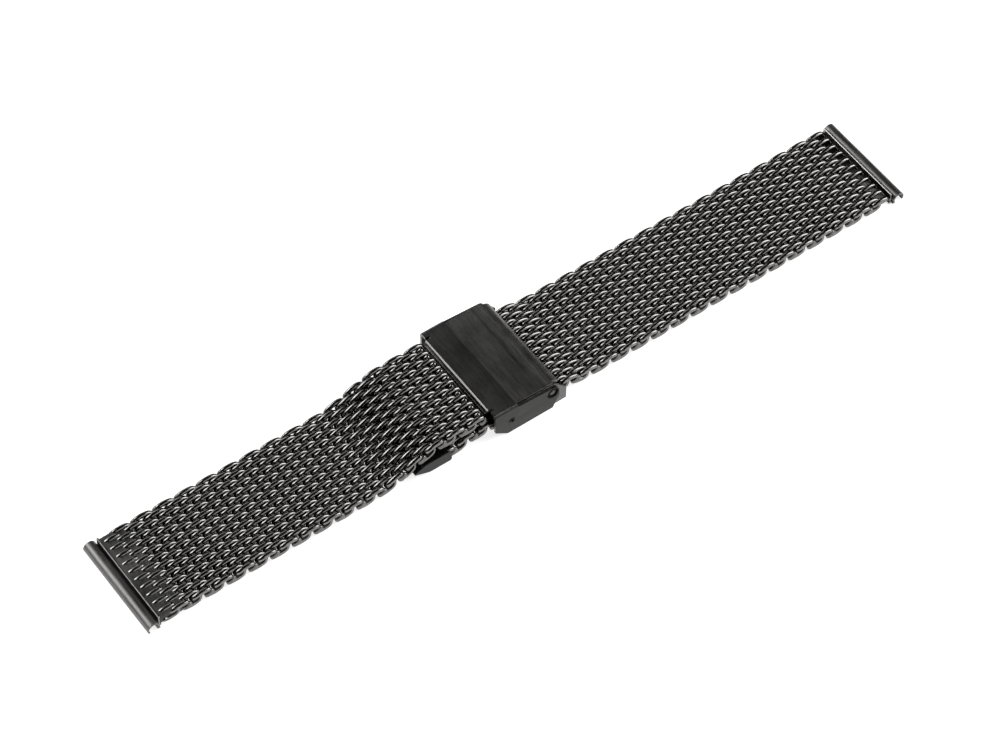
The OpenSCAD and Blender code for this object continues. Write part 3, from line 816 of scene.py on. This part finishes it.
# The cap's cheeks: thickness, how far they reach over the mesh, and radii of their rear corners
CAP_SIDE, CAP_FOLD = 0.35, 0.9
CHEEK_TOP_R, CHEEK_LOW_R = 0.9, 0.5
# Corners of the cap, measured from its tip: the heel behind the slope, the nose over the tip's
# lower edge, and where the top starts
CAP_HEEL = ((TIP_SLOPE + 0.5, 0.0), (TIP_SLOPE - 0.1, 0.06))
CAP_NOSE = ((0.03, 0.02), (0.0, 0.16), (0.02, 0.32))
CREST_START, CREST_POINTS = 0.18, 25
# How much shorter a clip looks than its channel at each side, its inner face, and the radius of its
# outer corners
CLIP_SHORT, CLIP_FACE, CLIP_CORNER = 0.55, 0.05, 0.12
# A clip's upper lip: its share of the lower lip's reach, the depth and the bevel of its edge, and
# the place and drop of its crest
UPPER_SHARE, UPPER_DEPTH, UPPER_BEVEL = 0.4, 0.15, 0.04
UPPER_CREST, CREST_DROP = 0.12, 0.01
# The strip from a clip to its channel: lap on the clip, gaps to the curl's axis below and above,
# and inset at each side
STRIP_LAP, STRIP_LOW, STRIP_HIGH, STRIP_INSET = 0.05, 0.85, 0.95, 0.02


def cap_top(x):
    """Height of the cap's top, which stays clear of the short strap over it."""
    return min(MESH_T, short_z(x) - MESH_T / 2 - LAYER_GAP)


def build_tail_cap():
    back = -TAIL_MESH + CAP_GRIP
    tip, tip_z = -TAIL_REACH, cap_top(-TAIL_REACH) - TIP_T
    front = [(tip + x, z) for x, z in CAP_HEEL] + [(tip + x, tip_z + z) for x, z in CAP_NOSE]
    front += [(x, cap_top(x)) for x in np.linspace(tip + CREST_START, back, CREST_POINTS)]
    slot_x = -TAIL_MESH - TURN_REACH - SOLDER_GAP
    slot_low, slot_high = GROUND_Z - FOLD_IN / 2, GROUND_Z + FOLD_IN / 2
    fold = [(back, 0.0), *front, (back, slot_high), (slot_x, slot_high)]
    fold += [(slot_x, slot_low), (back, slot_low)]
    shells = [prism(fold, -MESH_W / 2 + CAP_SIDE, MESH_W / 2 - CAP_SIDE)]
    end = back + CAP_FOLD
    cheek = [(end - CHEEK_LOW_R, 0.0), *front]
    cheek += arc(end - CHEEK_TOP_R, MESH_T - CHEEK_TOP_R, CHEEK_TOP_R, 90, 0, 6)
    cheek += arc(end - CHEEK_LOW_R, CHEEK_LOW_R, CHEEK_LOW_R, 0, -90, 5)[:-1]
    for side in (-1, 1):
        low, high = sorted((side * MESH_W / 2, side * (MESH_W / 2 - CAP_SIDE)))
        shells.append(prism(cheek, low, high))
    cap = one_shell("tail_tip", shells, "tail", ["tail_cap"], [CAP])
    round_edges(cap, 0.12, segments=3)


def curl_shells(outwards):
    """The curl of a channel, and the strip that ties it to its clip."""
    half_gap, drop = CHANNEL_GAP / 2, -CHANNEL_DROP
    tie = drop - CHANNEL_OUT * math.cos(math.radians(half_gap))
    ring = arc(CHANNEL_X, drop, CHANNEL_OUT, -90 + half_gap, 270 - half_gap, 40)
    ring += arc(CHANNEL_X, drop, BAR_R, 270 - half_gap, -90 + half_gap, 32)
    strip = [(SHEET_T - STRIP_LAP, tie), (CHANNEL_X - STRIP_LOW, tie),
             (CHANNEL_X - STRIP_HIGH, tie + SHEET_T), (SHEET_T - STRIP_LAP, tie + SHEET_T)]
    half, inner = MESH_W / 2, MESH_W / 2 - STRIP_INSET
    return [(*prism(outwards(ring), -half, half), 0), (*prism(outwards(strip), -inner, inner), 0)]


def clip_outline():
    """Side view of a clip folded round the pressed mesh; its upper lip is ground thin."""
    half, fold, lip = MESH_T / 2, FOLD_IN / 2, -CLIP_LIP * UPPER_SHARE
    outline = [(lip, half - UPPER_DEPTH), (lip + UPPER_BEVEL, half - UPPER_DEPTH + UPPER_BEVEL)]
    outline += [(UPPER_CREST, half - CREST_DROP)]
    outline += arc(SHEET_T - CLIP_CORNER, half - CLIP_CORNER, CLIP_CORNER, 90, 0, 5)
    outline += arc(SHEET_T - CLIP_CORNER, -half + CLIP_CORNER, CLIP_CORNER, 0, -90, 5)
    outline += [(-CLIP_LIP, -half), (-CLIP_LIP, -fold), (CLIP_FACE, -fold), (CLIP_FACE, fold)]
    return outline + [(lip, fold)]


def build_end(name, tip, direction, body):
    """Channel and clip at one end of the bracelet; direction is 1 where x runs outwards."""
    def outwards(outline):
        return [(tip + direction * x, GROUND_Z + z) for x, z in outline]

    channel = piece(f"{name}_curl", curl_shells(outwards), body,
                    [f"{name}_channel"], [BAR])
    round_edges(channel, 0.08, segments=3)
    width = MESH_W / 2 - CLIP_SHORT
    shell = prism(outwards(clip_outline()), -width, width)
    # The clip takes the brighter coating that paints its rim's highlight
    clip = one_shell(f"{name}_fold", [shell], body, [f"{name}_clip"], [CLIP_HIGHLIGHT])
    round_edges(clip, 0.05)


# Stage, light and camera

# Half side of the floor in metres, its colour, and its glow in what the camera and mirrors see
FLOOR_HALF, FLOOR_COLOUR, FLOOR_GLOW = 3.0, 0.86, 0.75
WORLD_STRENGTH = 0.01
# Distance of the lamps in metres. Each has a name, an azimuth and an elevation in degrees, a width
# and a height in metres, and a radiance
LAMP_DISTANCE = 1.0
LAMPS = (
    ("back_left", 122, 37, 0.62, 0.62, 5.8),
    ("back_left_glow", 130, 34, 1.0, 0.8, 0.5),
    ("right", 335, 35, 0.62, 0.62, 5.4),
    ("right_glow", 352, 18, 0.5, 0.4, 1.0),
    ("front", 288, 20, 0.75, 0.45, 1.6),
    ("back", 82, 20, 0.7, 0.4, 1.4),
)
# The camera, fitted to the corners of the bracelet in the photograph: degrees and millimetres
CAMERA_AZIMUTH, CAMERA_ELEVATION = -35.552, 53.118
CAMERA_DISTANCE, CAMERA_TARGET = 673.7, (-2.158, -0.264, 0.0)
SENSOR, LENS = 36.0, 129.04
CLIP_START = 0.01


def build_floor():
    half = FLOOR_HALF
    mesh = bpy.data.meshes.new("floor")
    corners = [(-half, -half, 0), (half, -half, 0), (half, half, 0), (-half, half, 0)]
    mesh.from_pydata(corners, [], [(0, 1, 2, 3)])
    floor = bpy.data.objects.new("floor", mesh)
    bpy.context.scene.collection.objects.link(floor)
    n = Nodes("pale_floor")
    diffuse = n.add("ShaderNodeBsdfDiffuse")
    diffuse.inputs["Color"].default_value = (*grey(FLOOR_COLOUR), 1)
    glow = n.add("ShaderNodeEmission")
    path = n.add("ShaderNodeLightPath").outputs
    mirrored = n.math("MAXIMUM", path["Is Glossy Ray"], path["Is Transmission Ray"])
    seen = n.math("MAXIMUM", path["Is Camera Ray"], mirrored)
    n.join(n.math("MULTIPLY", seen, FLOOR_GLOW), glow.inputs["Strength"])
    both = n.add("ShaderNodeAddShader")
    n.join(diffuse.outputs[0], both.inputs[0])
    n.join(glow.outputs[0], both.inputs[1])
    n.join(both.outputs[0], n.out.inputs["Surface"])
    mesh.materials.append(n.material)


def soft_box(name, azimuth, elevation, width, height, radiance):
    """A rectangular lamp that faces the origin. Azimuth runs from +x towards +y."""
    light = bpy.data.lights.new(name, "AREA")
    light.shape = "RECTANGLE"
    light.size, light.size_y = width, height
    light.energy = radiance * math.pi * width * height
    lamp = bpy.data.objects.new(name, light)
    a, e = math.radians(azimuth), math.radians(elevation)
    away = Vector((math.cos(a) * math.cos(e), math.sin(a) * math.cos(e), math.sin(e)))
    lamp.location = away * LAMP_DISTANCE
    lamp.rotation_euler = (-away).to_track_quat("-Z", "Y").to_euler()
    bpy.context.scene.collection.objects.link(lamp)


def build_light():
    world = bpy.data.worlds.new("studio")
    world.use_nodes = True
    background = world.node_tree.nodes["Background"]
    background.inputs["Color"].default_value = (1, 1, 1, 1)
    background.inputs["Strength"].default_value = WORLD_STRENGTH
    bpy.context.scene.world = world
    for lamp in LAMPS:
        soft_box(*lamp)


def build_camera():
    a, e = math.radians(CAMERA_AZIMUTH), math.radians(CAMERA_ELEVATION)
    back = Vector((math.sin(a) * math.cos(e), -math.cos(a) * math.cos(e), math.sin(e)))
    data = bpy.data.cameras.new("camera")
    data.sensor_width = SENSOR
    data.lens = LENS
    data.clip_start = CLIP_START
    camera = bpy.data.objects.new("camera", data)
    camera.location = (Vector(CAMERA_TARGET) + back * CAMERA_DISTANCE) * MM
    camera.rotation_euler = back.to_track_quat("Z", "Y").to_euler()
    bpy.context.scene.collection.objects.link(camera)
    bpy.context.scene.camera = camera


bpy.context.scene.view_settings.view_transform = "Standard"
build_straps()
build_clasp()
build_tail_cap()
build_end("short_end", SHORT_X[-1] - TURN_REACH, -1, f"short_{SHORT_SEGMENTS}")
build_end("long_end", LONG_X[-1] + TURN_REACH, 1, f"long_{LONG_SEGMENTS}")
build_floor()
build_light()
build_camera()

bpy.context.view_layer.update()
